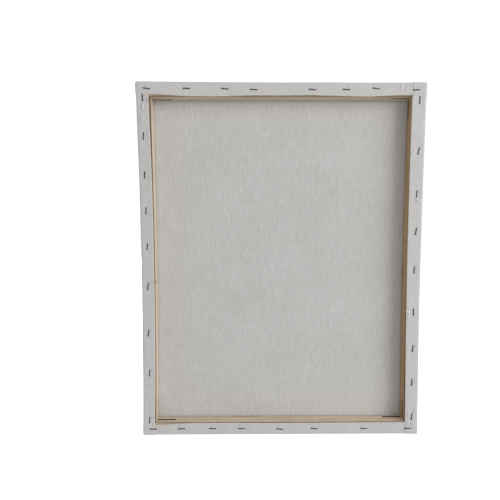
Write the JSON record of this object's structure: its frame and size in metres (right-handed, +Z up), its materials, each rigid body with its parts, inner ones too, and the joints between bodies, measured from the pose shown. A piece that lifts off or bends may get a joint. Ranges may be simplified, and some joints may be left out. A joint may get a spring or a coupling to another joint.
{
  "type": "stretched canvas",
  "caption": "Upright artist's canvas: primed cotton cloth stretched over a slotted and mitred pine frame, folded at the corners and stapled on the back.",
  "frame": {"origin": "middle of the bottom edge, half way through the whole depth, so the canvas stands on Z = 0", "axes": "+Z up along the tall side; +X to the right when the stapled back is looked at; the painting face looks along +Y and the stapled back along -Y"},
  "size_m": [0.4, 0.022, 0.5],
  "materials": {
    "pine": "planed, bare",
    "cotton_canvas": "plain weave, primed outside and raw inside",
    "staple_steel": "dull galvanised wire"
  },
  "bodies": {
    "root": {"top_bar": "pine", "bottom_bar": "pine", "left_bar": "pine", "right_bar": "pine", "canvas": "cotton_canvas", "top_staples": "staple_steel", "bottom_staples": "staple_steel", "left_staples": "staple_steel", "right_staples": "staple_steel"}
  },
  "joints": []
}
